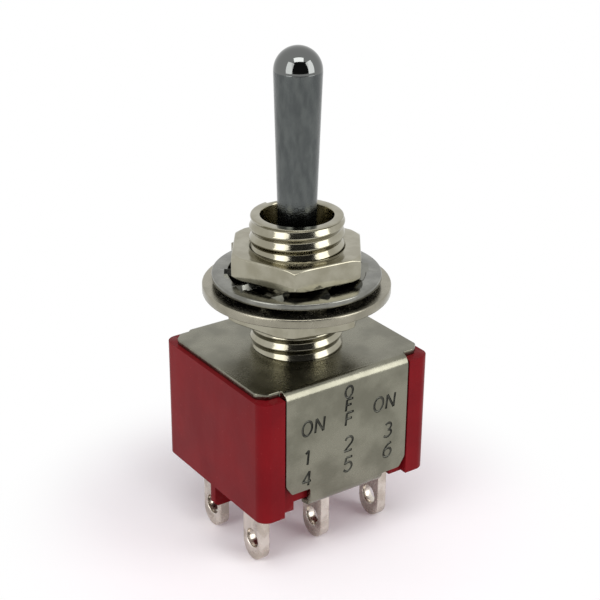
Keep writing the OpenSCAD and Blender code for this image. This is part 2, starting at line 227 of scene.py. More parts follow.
def red_plastic():
    """Moulded red thermoset with faint clouds, specks and handling marks."""
    material, tree, shader, place = start_material("red_case")
    clouds = noise(tree, place, 0.35, 4.0)
    specks = remap(tree, noise(tree, place, 5.0, 2.0, offset=(3, 1, 8)), 0.70, 0.76)
    body = blend_colours(tree, remap(tree, clouds, 0.3, 0.7), rgba(0.140, 0.005, 0.008),
                         rgba(0.172, 0.006, 0.009))
    scuffs = noise(tree, place, 0.8, 4.0, stretch=(1, 1, 0.25), offset=(2, 9, 4))
    marks = calc(tree, "MULTIPLY", specks, 0.25)
    feed(tree, shader, "Base Color", blend_colours(tree, marks, body, rgba(0.40, 0.08, 0.08)))
    feed(tree, shader, "Roughness", remap(tree, scuffs, 0.35, 0.7, 0.30, 0.40))
    shader.inputs["Specular IOR Level"].default_value = 0.06
    bumps(tree, shader, noise(tree, place, 2.2, 4.0), 0.006)
    return material


def lever_chrome():
    """Grey chrome: a satin stem drawn along its length and a polished dome."""
    material, tree, shader, place = start_material("lever_chrome")
    split = add(tree, "ShaderNodeSeparateXYZ", {"Vector": place}).outputs
    dome = remap(tree, split["Z"], LEVER_TOP - LEVER["tip"] - 0.03,
                 LEVER_TOP - LEVER["tip"] + 0.03)
    drawn = noise(tree, place, 2.4, 4.0, stretch=(1, 1, 0.35))
    fine = noise(tree, place, 9.0, 2.0, offset=(4, 4, 4))
    tone = blend_colours(tree, remap(tree, drawn, 0.3, 0.7), rgba(0.085, 0.092, 0.092),
                         rgba(0.118, 0.127, 0.124))
    feed(tree, shader, "Base Color", blend_colours(tree, dome, tone, rgba(0.15, 0.155, 0.15)))
    satin = remap(tree, fine, 0.3, 0.7, 0.17, 0.26)
    feed(tree, shader, "Roughness", remap(tree, dome, 0.0, 1.0, satin, 0.05, smooth=False))
    shader.inputs["Metallic"].default_value = 1.0
    height = calc(tree, "MULTIPLY", fine, remap(tree, dome, 0.0, 1.0, 1.0, 0.0))
    bumps(tree, shader, height, 0.012)
    return material


def nylon():
    """Plain pale nylon for the plunger carrier."""
    material, tree, shader, place = start_material("nylon")
    cloud = noise(tree, place, 0.7)
    feed(tree, shader, "Base Color", blend_colours(tree, cloud, rgba(0.80, 0.78, 0.70),
                                                   rgba(0.86, 0.84, 0.78)))
    shader.inputs["Roughness"].default_value = 0.5
    return material


def make_finishes():
    """Every material, under the name of its slot in the record."""
    made = {"red_case": red_plastic(), "lever_chrome": lever_chrome()}
    for name, looks in METALS.items():
        made[name] = mottled_metal(name, *looks)
    made["nylon"] = nylon()
    return made


# ---- mesh helpers ----


def new_piece(name, mesh):
    """An object in the scene for the mesh."""
    made = bpy.data.objects.new(name, mesh)
    bpy.context.scene.collection.objects.link(made)
    return made


def piece_of(name, shape):
    """A new piece from a bmesh, which is used up."""
    mesh = bpy.data.meshes.new(name)
    shape.to_mesh(mesh)
    shape.free()
    return new_piece(name, mesh)


def set_finished(piece):
    """The piece's modifiers become its mesh."""
    bpy.context.view_layer.update()
    graph = bpy.context.evaluated_depsgraph_get()
    mesh = bpy.data.meshes.new_from_object(piece.evaluated_get(graph))
    piece.modifiers.clear()
    piece.data = mesh
    return piece


def smooth(piece, angle=35.0):
    """Smooth shading, with edges over the angle kept sharp."""
    piece.data.polygons.foreach_set("use_smooth", [True] * len(piece.data.polygons))
    piece.data.set_sharp_from_angle(angle=math.radians(angle))
    weighted = piece.modifiers.new("even_normals", "WEIGHTED_NORMAL")
    weighted.keep_sharp = True
    return set_finished(piece)


def eased(points, radius, steps=3):
    """A closed outline with its corners rounded, each by a short curve."""
    made = []
    for i, corner in enumerate(points):
        before, after = points[i - 1], points[(i + 1) % len(points)]
        back = Vector(before) - Vector(corner)
        ahead = Vector(after) - Vector(corner)
        reach = min(radius, 0.45 * back.length, 0.45 * ahead.length)
        start = Vector(corner) + back.normalized() * reach
        end = Vector(corner) + ahead.normalized() * reach
        for k in range(steps + 1):
            t = k / steps
            made.append((1 - t) ** 2 * start + 2 * t * (1 - t) * Vector(corner) + t * t * end)
    return made


def evenly(count):
    """Angles evenly round a circle."""
    return [2 * math.pi * i / count for i in range(count)]


def ring_solid(name, section, angles):
    """A closed ring whose section, as (radius, height) points, may change with the angle."""
    mesh = bpy.data.meshes.new(name)
    vertices = []
    for angle in angles:
        for point in section(angle):
            vertices.append((point[0] * math.cos(angle) * MM,
                             point[0] * math.sin(angle) * MM, point[1] * MM))
    count = len(vertices) // len(angles)
    faces = []
    for i in range(len(angles)):
        here, there = i * count, (i + 1) % len(angles) * count
        for j in range(count):
            k = (j + 1) % count
            faces.append((here + j, there + j, there + k, here + k))
    mesh.from_pydata(vertices, [], faces)
    return new_piece(name, mesh)


def turned(name, outline, sides):
    """A closed solid turned about Z from an outline that starts and ends on the axis."""
    shape = bmesh.new()
    rings = []
    for radius, height in outline:
        around = evenly(sides) if radius else [0.0]
        rings.append([shape.verts.new((radius * math.cos(angle) * MM,
                                       radius * math.sin(angle) * MM,
                                       height * MM)) for angle in around])
    for low, high in zip(rings, rings[1:]):
        for i in range(sides):
            k = (i + 1) % sides
            if len(low) == 1:
                shape.faces.new((low[0], high[k], high[i]))
            elif len(high) == 1:
                shape.faces.new((low[i], low[k], high[0]))
            else:
                shape.faces.new((low[i], low[k], high[k], high[i]))
    return piece_of(name, shape)


def arc(centre, radii, start, end, steps):
    """Points along an ellipse's arc, with angles in degrees."""
    turns = [math.radians(start + (end - start) * i / steps) for i in range(steps + 1)]
    return [(centre[0] + radii[0] * math.cos(a), centre[1] + radii[1] * math.sin(a))
            for a in turns]


def block(name, low, high):
    """A plain cutter between two corners, in millimetres."""
    shape = bmesh.new()
    bmesh.ops.create_cube(shape, size=1.0)
    low, high = Vector(low) * MM, Vector(high) * MM
    size = high - low
    shape.transform(Matrix.Translation((low + high) / 2) @ Matrix.Diagonal((*size, 1.0)))
    return piece_of(name, shape)


def cut(piece, cutter, own_faces=False):
    """Takes the cutter out of the piece. With own_faces the cutter may cross itself, and
    the faces it leaves keep its material."""
    made = piece.modifiers.new("cut", "BOOLEAN")
    made.object = cutter
    made.operation = "DIFFERENCE"
    made.solver = "EXACT"
    made.use_self = own_faces
    made.material_mode = "TRANSFER" if own_faces else "INDEX"
    set_finished(piece)
    bpy.data.objects.remove(cutter)
    return piece


def break_edges(piece, radius, angle, clamp, corners):
    """Breaks the edges over the angle to a small radius."""
    edges = piece.modifiers.new("edges", "BEVEL")
    edges.width = radius * MM
    edges.segments = 2
    edges.limit_method = "ANGLE"
    edges.angle_limit = math.radians(angle)
    edges.use_clamp_overlap = clamp
    edges.miter_outer = corners
    return set_finished(piece)


def softened(node, radius):
    """A copy of a solid with its edges broken to a small radius."""
    mesh = solids[node].data.copy()
    shape = bmesh.new()
    shape.from_mesh(mesh)
    bmesh.ops.remove_doubles(shape, verts=shape.verts, dist=WELD)
    bmesh.ops.dissolve_limit(shape, angle_limit=math.radians(FLAT_WITHIN),
                             verts=shape.verts, edges=shape.edges)
    many_sided = [face for face in shape.faces if len(face.verts) > 4]
    bmesh.ops.triangulate(shape, faces=many_sided)
    shape.to_mesh(mesh)
    shape.free()
    piece = new_piece(node + "_finished", mesh)
    return break_edges(piece, radius, 25, True, "MITER_ARC")


def ride_for(piece, node):
    """The piece stands for a solid and rides with it."""
    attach(piece, solids[node]["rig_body"])
    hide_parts(node)


def fit_out(piece, node, material):
    """The piece takes its finish and stands for a solid."""
    piece.data.materials.clear()
    piece.data.materials.append(material)
    ride_for(piece, node)


# ---- geometry node trees ----


def start_tree(name, sizes):
    """A geometry tree with one named number input for each size."""
    tree = bpy.data.node_groups.new(name, "GeometryNodeTree")
    made = tree.interface.new_socket
    made(name="Geometry", in_out="INPUT", socket_type="NodeSocketGeometry")
    made(name="Geometry", in_out="OUTPUT", socket_type="NodeSocketGeometry")
    for key in sizes:
        made(name=key, in_out="INPUT", socket_type="NodeSocketFloat")
    made(name="Material", in_out="INPUT", socket_type="NodeSocketMaterial")
    return tree, add(tree, "NodeGroupInput").outputs


def end_tree(tree, geometry, ports):
    """Real faces with their material, and the tree's output."""
    real = add(tree, "GeometryNodeRealizeInstances", {"Geometry": geometry})
    dressed = add(tree, "GeometryNodeSetMaterial",
                  {"Geometry": real.outputs[0], "Material": ports["Material"]})
    add(tree, "NodeGroupOutput", {"Geometry": dressed.outputs[0]})


def grow(piece, tree, sizes, material):
    """Runs the tree on the piece and keeps the mesh that comes out."""
    made = piece.modifiers.new(tree.name, "NODES")
    made.node_group = tree
    values = {**sizes, "Material": material}
    for item in tree.interface.items_tree:
        if item.in_out == "INPUT" and item.name in values:
            made[item.identifier] = values[item.name]
    return set_finished(piece)


def away_from_axis(tree, split):
    """The distance from the Z axis."""
    plus, _, times, _ = sums(tree)
    return calc(tree, "SQRT", plus(times(split["X"], split["X"]),
                                   times(split["Y"], split["Y"])))


def thread_profile(tree, ports, split):
    """The thread's radius at a height and a turn, before any part of it is covered."""
    _, minus, times, over = sums(tree)
    turn = over(calc(tree, "ARCTAN2", split["Y"], split["X"]), 2 * math.pi)
    rise = over(minus(split["Z"], ports["First crest"]), ports["Pitch"])
    phase = calc(tree, "FRACT", minus(rise, turn))
    swing = calc(tree, "ABSOLUTE", minus(times(phase, 2.0), 1.0))
    groove = remap(tree, swing, 0.90, 0.08, smooth=False)
    return minus(ports["Crest radius"], times(groove, ports["Depth"]))


def covered_profile(tree, ports, height):
    """The core's radius where nuts and washers cover the thread, sloping out to its crest."""
    plus, minus, times, _ = sums(tree)
    middle = times(plus(ports["Cover low"], ports["Cover high"]), 0.5)
    half = times(minus(ports["Cover high"], ports["Cover low"]), 0.5)
    inside = minus(half, calc(tree, "ABSOLUTE", minus(height, middle)))
    sloping = minus(ports["Crest radius"], calc(tree, "MAXIMUM", inside, 0.0))
    return calc(tree, "MAXIMUM", sloping, ports["Core radius"])


def thread_tree(sizes):
    """Cuts a right-hand helical thread into a turned blank, all but where it is covered."""
    tree, ports = start_tree("helical_thread", sizes)
    _, _, times, over = sums(tree)
    place = add(tree, "GeometryNodeInputPosition").outputs[0]
    split = add(tree, "ShaderNodeSeparateXYZ", {"Vector": place}).outputs
    radius = away_from_axis(tree, split)
    ridge = thread_profile(tree, ports, split)
    cover = covered_profile(tree, ports, split["Z"])
    wanted = calc(tree, "MINIMUM", calc(tree, "MINIMUM", ridge, cover), radius)
    scale = over(wanted, radius)
    flat = add(tree, "ShaderNodeCombineXYZ", {"X": scale, "Y": scale, "Z": 1.0}).outputs[0]
    moved = add(tree, "ShaderNodeVectorMath", {0: place, 1: flat}, operation="MULTIPLY")
    outer = calc(tree, "GREATER_THAN", radius, ports["Core radius"])
    above = calc(tree, "GREATER_THAN", split["Z"], ports["Thread low"])
    below = calc(tree, "LESS_THAN", split["Z"], ports["Thread high"])
    chosen = times(times(outer, above), below)
    cut_thread = add(tree, "GeometryNodeSetPosition",
                     {"Geometry": ports["Geometry"], "Selection": chosen,
                      "Position": moved.outputs[0]})
    end_tree(tree, cut_thread.outputs[0], ports)
    return tree


def flat_ring(tree, ports):
    """A flat ring with rounded edges."""
    plus, minus, times, _ = sums(tree)
    middle = times(plus(ports["Outer radius"], ports["Inner radius"]), 0.5)
    wide = minus(ports["Outer radius"], ports["Inner radius"])
    path = add(tree, "GeometryNodeCurvePrimitiveCircle", {"Resolution": 128, "Radius": middle})
    outline = add(tree, "GeometryNodeCurvePrimitiveQuadrilateral",
                  {"Width": wide, "Height": ports["Thickness"]})
    round_off = add(tree, "GeometryNodeFilletCurve",
                    {"Curve": outline.outputs[0], "Radius": ports["Edge"], "Count": 3,
                     "Limit Radius": True}, mode="POLY")
    return add(tree, "GeometryNodeCurveToMesh",
               {"Curve": path.outputs[0], "Profile Curve": round_off.outputs[0]}).outputs[0]


def twisted_teeth(tree, ports):
    """Teeth evenly round the axis, each twisted about its own length."""
    plus, minus, times, _ = sums(tree)
    long = plus(minus(ports["Inner radius"], ports["Tooth reach"]), ports["Root"])
    size = add(tree, "ShaderNodeCombineXYZ", {"X": long, "Y": ports["Tooth width"],
                                              "Z": ports["Thickness"]}).outputs[0]
    tooth = add(tree, "GeometryNodeMeshCube", {"Size": size})
    count = add(tree, "FunctionNodeFloatToInt", {0: ports["Teeth"]}).outputs[0]
    seat_radius = plus(ports["Tooth reach"], times(long, 0.5))
    seat = add(tree, "GeometryNodeMeshCircle", {"Vertices": count, "Radius": seat_radius})
    place = add(tree, "GeometryNodeInputPosition").outputs[0]
    split = add(tree, "ShaderNodeSeparateXYZ", {"Vector": place}).outputs
    spin = calc(tree, "ARCTAN2", split["Y"], split["X"])
    rotation = add(tree, "ShaderNodeCombineXYZ", {"X": ports["Twist"], "Z": spin}).outputs[0]
    teeth = add(tree, "GeometryNodeInstanceOnPoints",
                {"Points": seat.outputs[0], "Instance": tooth.outputs[0],
                 "Rotation": rotation})
    return add(tree, "GeometryNodeRealizeInstances", {"Geometry": teeth.outputs[0]}).outputs[0]


def toothed_ring_tree(sizes):
    """A rounded flat ring with twisted teeth standing inwards from it."""
    tree, ports = start_tree("toothed_ring", sizes)
    parts = (flat_ring(tree, ports), twisted_teeth(tree, ports))
    joined = add(tree, "GeometryNodeMeshBoolean", operation="UNION", solver="EXACT")
    for part in parts:
        tree.links.new(part, joined.inputs["Mesh 2"])
    up = add(tree, "ShaderNodeCombineXYZ", {"Z": ports["Height"]}).outputs[0]
    lifted = add(tree, "GeometryNodeTransform",
                 {"Geometry": joined.outputs[0], "Translation": up})
    end_tree(tree, lifted.outputs[0], ports)
    return tree


# ---- pieces ----


THREAD_LOW = PLATE_TOP + BUSHING["run_in"]
ROW = 0.03  # the thread's blank has a ring of corners at each of these steps


def bushing_outline():
    """Half of the bushing's section as (radius, height) points, up outside and down inside."""
    rows = int((BUSHING_TOP - THREAD["rows_end"] - THREAD_LOW) / ROW)
    crest, core, mouth = THREAD["crest"], THREAD["core"], MOUTH["radius"]
    shoulder = BUSHING_LOW + BUSHING["flange_tall"]
    outer = [(BUSHING["flange"], BUSHING_LOW), (BUSHING["flange"], shoulder),
             (core, shoulder), (core, THREAD_LOW - BUSHING["run_in"])]
    outer += [(crest, THREAD_LOW + i * ROW) for i in range(rows + 1)]
    rim_start = (crest, BUSHING_TOP - BUSHING["rim_tall"])
    corners = [rim_start, (crest - BUSHING["rim_wide"], BUSHING_TOP),
               (mouth + BUSHING["lip_wide"], BUSHING_TOP),
               (mouth, BUSHING_TOP - BUSHING["lip_tall"])]
    rim = eased(corners, BUSHING["rim_soft"])[4:12]  # the two corners in the middle, 4 points each
    seat = PIVOT + MOUTH["seat_rise"]
    inner = [(mouth, BUSHING_TOP - BUSHING["mouth_top"]), (mouth, BUSHING_TOP - MOUTH["deep"]),
             (MOUTH["seat"], seat + MOUTH["seat_rim"]), (MOUTH["seat"], seat),
             (MOUTH["bore"], seat), (MOUTH["bore"], BUSHING_LOW)]
    return outer + [rim_start] + [tuple(point) for point in rim] + inner


def make_bushing(finish):
    """The bushing, turned, with its keyway, pin slots and true helical thread."""
    outline = bushing_outline()
    piece = ring_solid("bushing_threaded", lambda angle: outline, evenly(160))
    crest = THREAD["crest"]
    sizes = {"Crest radius": crest * MM, "Core radius": THREAD["core"] * MM,
             "Depth": THREAD["depth"] * MM, "Pitch": THREAD["pitch"] * MM,
             "First crest": (BUSHING_TOP - THREAD["first_crest"]) * MM,
             "Thread low": THREAD_LOW * MM - WELD,
             "Thread high": (BUSHING_TOP - THREAD["run_out"]) * MM,
             "Cover low": LOWER_NUT[0] * MM, "Cover high": UPPER_NUT[1] * MM}
    grow(piece, thread_tree(sizes), sizes, finish["nickel_brass"])
    keyway = block("keyway", (-KEYWAY["width"] / 2, crest - KEYWAY["depth"], THREAD_LOW),
                   (KEYWAY["width"] / 2, crest + 1, BUSHING_TOP + 1))
    cut(piece, keyway)
    half = (PIN_TOP - PIN_LOW) / 2 + BUSHING["slot_room"]
    reach = BUSHING["slot_reach"]
    cut(piece, block("pin_slot", (-half, -reach, BUSHING_LOW - 1),
                     (half, reach, PIN_TOP + BUSHING["slot_room"])))
    smooth(piece, 50)
    fit_out(piece, "bushing", finish["nickel_brass"])


def hexagon(angle, flats, corner):
    """Distance from the axis to a hexagon's side, with its corners rounded."""
    half = math.radians(30)
    beside = abs((angle % (2 * half)) - half)
    from_corner = half - beside
    centre = (flats / 2 - corner) / math.cos(half)
    tangent = math.atan2(corner * math.sin(half), centre + corner * math.cos(half))
    if from_corner < tangent:
        return centre * math.cos(from_corner) + math.sqrt(
            corner ** 2 - (centre * math.sin(from_corner)) ** 2)
    return flats / 2 / math.cos(beside)


# degrees on each side of a nut's corner where its outline has points
CORNER_STEPS = [0, 0.4, 0.8, 1.2, 1.7, 2.4, 4, 7, 11, 15, 20, 25]


def make_nut(node, levels, turn, finish):
    """A hexagon nut with chamfered corners, rounded edges and a lead into its bore."""
    low, high = levels
    turn = math.radians(turn)
    slope = math.tan(math.radians(30))
    corner_radius = NUT["flats"] / math.sqrt(3)
    rim_radius = corner_radius - NUT["chamfer"] / slope
    edge = NUT["edge"]

    def section(angle):
        side = hexagon(angle - turn, NUT["flats"], NUT["corner"])
        rim = min(rim_radius, side - edge)
        drop = max(edge, (side - rim_radius) * slope)
        lead = NUT["bore"] + NUT["lead"]
        return eased([(NUT["bore"], high - NUT["lead"]), (NUT["bore"], low + NUT["lead"]),
                      (lead, low), (rim, low), (side, low + drop), (side, high - drop),
                      (rim, high), (lead, high)], NUT["soft"])

    steps = sorted([-step for step in CORNER_STEPS if step] + CORNER_STEPS) + [30]
    angles = [turn + math.radians(60 * corner + step) for corner in range(6) for step in steps]
    piece = ring_solid(node + "_machined", section, angles)
    smooth(piece, 28)
    fit_out(piece, node, finish["nickel_brass"])


def make_lock_washer(finish):
    """The internal tooth lock washer."""
    low, high = LOCK_WASHER
    piece = new_piece("lock_washer_toothed", bpy.data.meshes.new("lock_washer_toothed"))
    sizes = {"Outer radius": LOCK["outer"] * MM, "Inner radius": LOCK["inner"] * MM,
             "Thickness": LOCK["thick"] * MM, "Edge": LOCK["edge"] * MM, "Teeth": LOCK["teeth"],
             "Tooth reach": LOCK["tooth_in"] * MM, "Tooth width": LOCK["tooth_wide"] * MM,
             "Root": LOCK["thick"] * MM / 2, "Twist": math.radians(LOCK["twist"]),
             "Height": (low + high) / 2 * MM}
    grow(piece, toothed_ring_tree(sizes), sizes, finish["spring_steel"])
    smooth(piece)
    fit_out(piece, "lock_washer", finish["spring_steel"])


def lever_outline():
    """Half of the lever's section, from the end of its tail to the top of its dome."""
    tip, ball_radius, tail, edge = (LEVER[k] for k in ("tip", "ball", "tail", "tail_edge"))
    tip_level = LEVER_TOP - tip
    growth = (tip - LEVER["stem"]) / (tip_level - BUSHING_TOP)
    neck = LEVER["stem"] - growth * (BUSHING_TOP - PIVOT - LEVER["ball_to_stem"])
    tail_end = PIVOT - math.sqrt(ball_radius ** 2 - tail ** 2)
    low_turn = -math.degrees(math.acos(tail / ball_radius))
    top_turn = math.degrees(math.acos(neck / ball_radius))
    ball = arc((0, PIVOT), (ball_radius, ball_radius), low_turn, top_turn, 24)
    stem_level = ball[-1][1]
    stem = [(neck + (tip - neck) * t, stem_level + (tip_level - stem_level) * t)
            for t in (0.1, 0.3, 0.5, 0.7, 0.9, 0.98)]
    dome = arc((0, tip_level), (tip, tip), 0, 90, 24)[:-1]
    low_end = [(0, LEVER_LOW), (tail - edge, LEVER_LOW), (tail, LEVER_LOW + edge),
               (tail, tail_end - edge)]
    return low_end + ball + stem + dome + [(0, LEVER_TOP)]


def make_lever(finish):
    """The bat lever with its domed tip, ball and tail, bored for the cross pin."""
    piece = turned("lever_bat", lever_outline(), 96)
    shape = bmesh.new()
    radius = (PIN_TOP - PIN_LOW) / 2 * MM
    spot = Matrix.Translation((0, 0, PIVOT * MM)) @ Matrix.Rotation(math.pi / 2, 4, "X")
    bmesh.ops.create_cone(shape, cap_ends=True, segments=32, radius1=radius, radius2=radius,
                          depth=3 * LEVER["ball"] * MM, matrix=spot)
    cut(piece, piece_of("pin_bore", shape))
    smooth(piece, 40)
    fit_out(piece, "lever", finish["lever_chrome"])


# letters drawn with single strokes, each a run of (across, up) points in a box one unit high
GLYPHS = {
    "O": [arc((0.36, 0.5), (0.36, 0.5), 90, 450, 20)],
    "N": [[(0, 0), (0, 1)], [(0, 1), (0.62, 0)], [(0.62, 0), (0.62, 1)]],
    "F": [[(0, 0), (0, 1)], [(0, 1), (0.60, 1)], [(0, 0.52), (0.5, 0.52)]],
    "1": [[(0.12, 0.80), (0.34, 1)], [(0.34, 1), (0.34, 0)]],
    "2": [arc((0.31, 0.70), (0.29, 0.30), 165, -35, 10) + [(0.02, 0)], [(0.02, 0), (0.62, 0)]],
    "3": [arc((0.29, 0.75), (0.25, 0.25), 150, -90, 9),
          arc((0.29, 0.26), (0.31, 0.26), 90, -150, 9)],
    "4": [[(0.48, 0), (0.48, 1)], [(0.48, 1), (0, 0.30)], [(0, 0.30), (0.66, 0.30)]],
    "5": [[(0.58, 1), (0.10, 1)], [(0.10, 1), (0.06, 0.52)],
          arc((0.28, 0.33), (0.32, 0.33), 130, -150, 12)],
    "6": [arc((0.62, 0.34), (0.60, 0.66), 95, 180, 7)
          + arc((0.32, 0.32), (0.30, 0.32), 180, -180, 14)],
}

# the stroke's radius in millimetres, then the slant and the step in letter heights
STAMP = {"stroke": 0.085, "slant": 0.10, "step": 1.02}

# what is stamped in the front leg, in millimetres: text, left end, foot over the plate's
# top, letter height
STAMPS = [("ON", -3.55, -3.30, 0.98), ("ON", 1.98, -3.28, 0.98),
          ("O", -0.32, -1.56, 0.78), ("F", -0.22, -2.50, 0.80), ("F", -0.22, -3.52, 0.88),
          ("1", -3.45, -5.38, 1.0), ("2", -0.30, -5.38, 1.0), ("3", 2.85, -5.38, 1.0),
          ("4", -3.52, -6.88, 1.0), ("5", -0.30, -6.88, 1.0), ("6", 2.85, -6.88, 1.0)]


def stroke_bar(points, radius):
    """One stroke's mesh: a closed round bar along its points, in millimetres."""
    curve = bpy.data.curves.new("stroke", "CURVE")
    curve.dimensions = "3D"
    curve.bevel_depth = radius * MM
    curve.bevel_resolution = 2
    curve.use_fill_caps = True
    line = curve.splines.new("POLY")
    line.use_cyclic_u = (Vector(points[0]) - Vector(points[-1])).length < radius
    if line.use_cyclic_u:
        points = points[:-1]
    line.points.add(len(points) - 1)
    for spot, point in zip(line.points, points):
        spot.co = (*(Vector(point) * MM), 1)
    bar = new_piece("stroke", curve)
    graph = bpy.context.evaluated_depsgraph_get()
    mesh = bpy.data.meshes.new_from_object(bar.evaluated_get(graph))
    bpy.data.objects.remove(bar)
    return mesh


def stamp(piece, material):
    """Presses every stroke of every letter into the leg."""
    shape = bmesh.new()
    for text, left, foot, high in STAMPS:
        for letter in text:
            for stroke in GLYPHS[letter]:
                points = [(left + (across + STAMP["slant"] * up) * high, LEG_FACE,
                           PLATE_TOP + foot + up * high) for across, up in stroke]
                shape.from_mesh(stroke_bar(points, STAMP["stroke"]))
            left += STAMP["step"] * high
    bmesh.ops.remove_doubles(shape, verts=shape.verts, dist=WELD)
    bmesh.ops.recalc_face_normals(shape, faces=shape.faces)
    tool = piece_of("stamping_tool", shape)
    tool.data.materials.append(material)
    cut(piece, tool, own_faces=True)


def plate_half():
    """Half of the plate's flat length between the legs' bends."""
    return -LEG_FACE - FOLD["bend_in"] - FOLD["sheet"]


def fold_levels():
    """Where the leg starts and ends along the sheet, and the leg's top height."""
    leg_top = PLATE_TOP - FOLD["bend_in"] - FOLD["sheet"]
    bend = (FOLD["bend_in"] + FOLD["sheet"] / 2) * math.pi / 2
    return bend, bend + FOLD["leg_drop"] - (PLATE_TOP - leg_top), leg_top


def blank_outline():
    """Half of the flat sheet as (across, along): along is 0 at the plate's edge and grows
    down the leg, and the plate's middle is below 0."""
    _, foot, _ = fold_levels()
    half, leg, tab = FOLD["plate_long"] / 2, FOLD["leg_half"], FOLD["tab_half"]
    end = foot + (FOLD["tab_in"] + FOLD["sheet"] / 2) * FOLD["tab_turn"] + FOLD["tab_reach"]
    cut_in, notch, rise = FOLD["foot_cut"], FOLD["notch"], FOLD["foot_rise"]
    middle = -plate_half()
    hole = [(-x, y + middle) for x, y in arc((0, 0), (THREAD["core"],) * 2, 0, 180, 32)]
    edge = [(half, middle), (half, -FOLD["corner"]), (half - FOLD["corner"], 0), (leg, 0),
            (leg, foot - rise), (leg - cut_in, foot), (tab, foot), (tab, end), (-tab, end),
            (-tab, foot - notch), (cut_in - leg, foot - notch), (-leg, foot - notch - rise),
            (-leg, 0), (FOLD["corner"] - half, 0), (-half, -FOLD["corner"]), (-half, middle)]
    steps = 4
    soft = [tuple(point) for point in eased(edge, FOLD["soft"], steps)]
    kept = soft[steps + 1:-steps - 1]  # the two ends of the outline stay sharp
    return hole + [edge[0]] + kept + [edge[-1]]


def folded(across, along, out):
    """A point of the flat sheet after the plate's bend and the tab's, out from its middle."""
    bend_end, foot, leg_top = fold_levels()
    middle = FOLD["bend_in"] + FOLD["sheet"] / 2
    tab_middle = FOLD["tab_in"] + FOLD["sheet"] / 2
    if along <= 0:
        return Vector((across, -plate_half() - along, PLATE_TOP - FOLD["sheet"] / 2 + out))
    if along <= bend_end:
        turn, reach = along / middle, middle + out
        return Vector((across, -plate_half() - reach * math.sin(turn),
                       leg_top + reach * math.cos(turn)))
    if along <= foot:
        return Vector((across, LEG_FACE + FOLD["sheet"] / 2 - out, leg_top - along + bend_end))
    turn = min((along - foot) / tab_middle, FOLD["tab_turn"])
    rest = along - foot - turn * tab_middle
    reach = tab_middle + out
    return Vector((across,
                   LEG_FACE + FOLD["sheet"] + FOLD["tab_in"] - reach * math.cos(turn)
                   + rest * math.sin(turn),
                   leg_top - foot + bend_end - reach * math.sin(turn) - rest * math.cos(turn)))


NEAR_CREASE = 1e-4  # millimetres within which a point lies on a crease


def creased_blank():
    """The flat sheet's half, divided across wherever it will bend."""
    bend_end, foot, _ = fold_levels()
    tab_end = foot + (FOLD["tab_in"] + FOLD["sheet"] / 2) * FOLD["tab_turn"]
    creases = [bend_end * k / 10 for k in range(11)]
    creases += [foot + (tab_end - foot) * k / 8 for k in range(9)]
    flat = bmesh.new()
    flat.faces.new([flat.verts.new((x, y, 0)) for x, y in blank_outline()])
    for crease in creases:
        everything = flat.verts[:] + flat.edges[:] + flat.faces[:]
        bmesh.ops.bisect_plane(flat, geom=everything, dist=NEAR_CREASE,
                               plane_co=(0, crease, 0), plane_no=(0, 1, 0))
    return flat


def fold_sheet():
    """The frame's sheet, bent down its two legs from the flat."""
    flat = creased_blank()
    middle = -plate_half() + NEAR_CREASE
    solid = bmesh.new()
    for side in (1, -1):
        half_turn = Matrix.Diagonal((side * MM, side * MM, MM, 1))
        outer, inner = [{v: solid.verts.new(half_turn @ folded(v.co.x, v.co.y, out))
                         for v in flat.verts}
                        for out in (FOLD["sheet"] / 2, -FOLD["sheet"] / 2)]
        for face in flat.faces:
            solid.faces.new([outer[v] for v in face.verts])
            solid.faces.new([inner[v] for v in reversed(face.verts)])
        for edge in flat.edges:
            a, b = edge.verts
            if edge.is_boundary and max(a.co.y, b.co.y) > middle:
                solid.faces.new((outer[a], outer[b], inner[b], inner[a]))
    bmesh.ops.remove_doubles(solid, verts=solid.verts, dist=WELD)
    bmesh.ops.recalc_face_normals(solid, faces=solid.faces)
    flat.free()
    return piece_of("frame_folded", solid)


def make_frame(finish):
    """The folded sheet with its stamped letters."""
    piece = break_edges(fold_sheet(), BROKEN["frame"], 50, False, "MITER_SHARP")
    piece.data.materials.append(finish["tinned_steel"])
    stamp(piece, finish["stamped"])
    smooth(piece, 30)
    ride_for(piece, "frame")


def make_others(finish):
    """The case, lugs and locating washer with softened edges."""
    rows = [("case", BROKEN["case"], "red_case"),
            ("locating_washer", BROKEN["locating_washer"], "washer_steel")]
    rows += [(f"terminal_{number}", BROKEN["lug"], "silver_copper") for number in range(1, 7)]
    for node, radius, slot in rows:
        fit_out(smooth(softened(node, radius)), node, finish[slot])


def dress_hidden_pieces(finish):
    """The mechanism's own solids take their materials."""
    slots = {row["node"]: row["material_slot"] for row in frame["record"]["subparts"]}
    for name, solid in solids.items():
        if not solid.hide_render:
            solid.data.materials.clear()
            solid.data.materials.append(finish[slots[name]])


# ---- stage ----

CAMERA_PLACE = Vector((-46.747, -66.935, 53.060)) * MM
CAMERA_AIM = Vector((0.340, -0.240, 16.518)) * MM
CAMERA_ROLL = 0.532
CAMERA_LENS = 84.1
CAMERA_SHIFT = -0.005
CAMERA_TURN = -34.9
MIDDLE = Vector((0, 0, 16)) * MM

# each lamp's turn and rise from the camera's side, the degrees it spans, and its radiance
PANELS = {"left_panel": (-43, 22, 31, 48, 2.8), "right_panel": (65, 22, 31, 48, 3.2),
          "front_top_panel": (5, 65, 38, 20, 4.6)}
PANEL_AWAY = 0.28
DARK_CARD = (11, 26, 76, 56)
DARK_CARD_AWAY = 0.33
DARK_CARD_GLOW = 0.03
WORLD_LIGHT = 0.42
FLOOR_COLOUR = (0.96, 0.95, 0.96)
# painted light: a faint purple glow on the floor near the object, which lifts its shadow and tints
# it as light bounced off the red case would
FLOOR_PAINTED_GLOW = (0.06, 0.035, 0.05)
SHADOW_KEPT, SHADOW_GONE = 0.011, 0.021  # metres from the axis


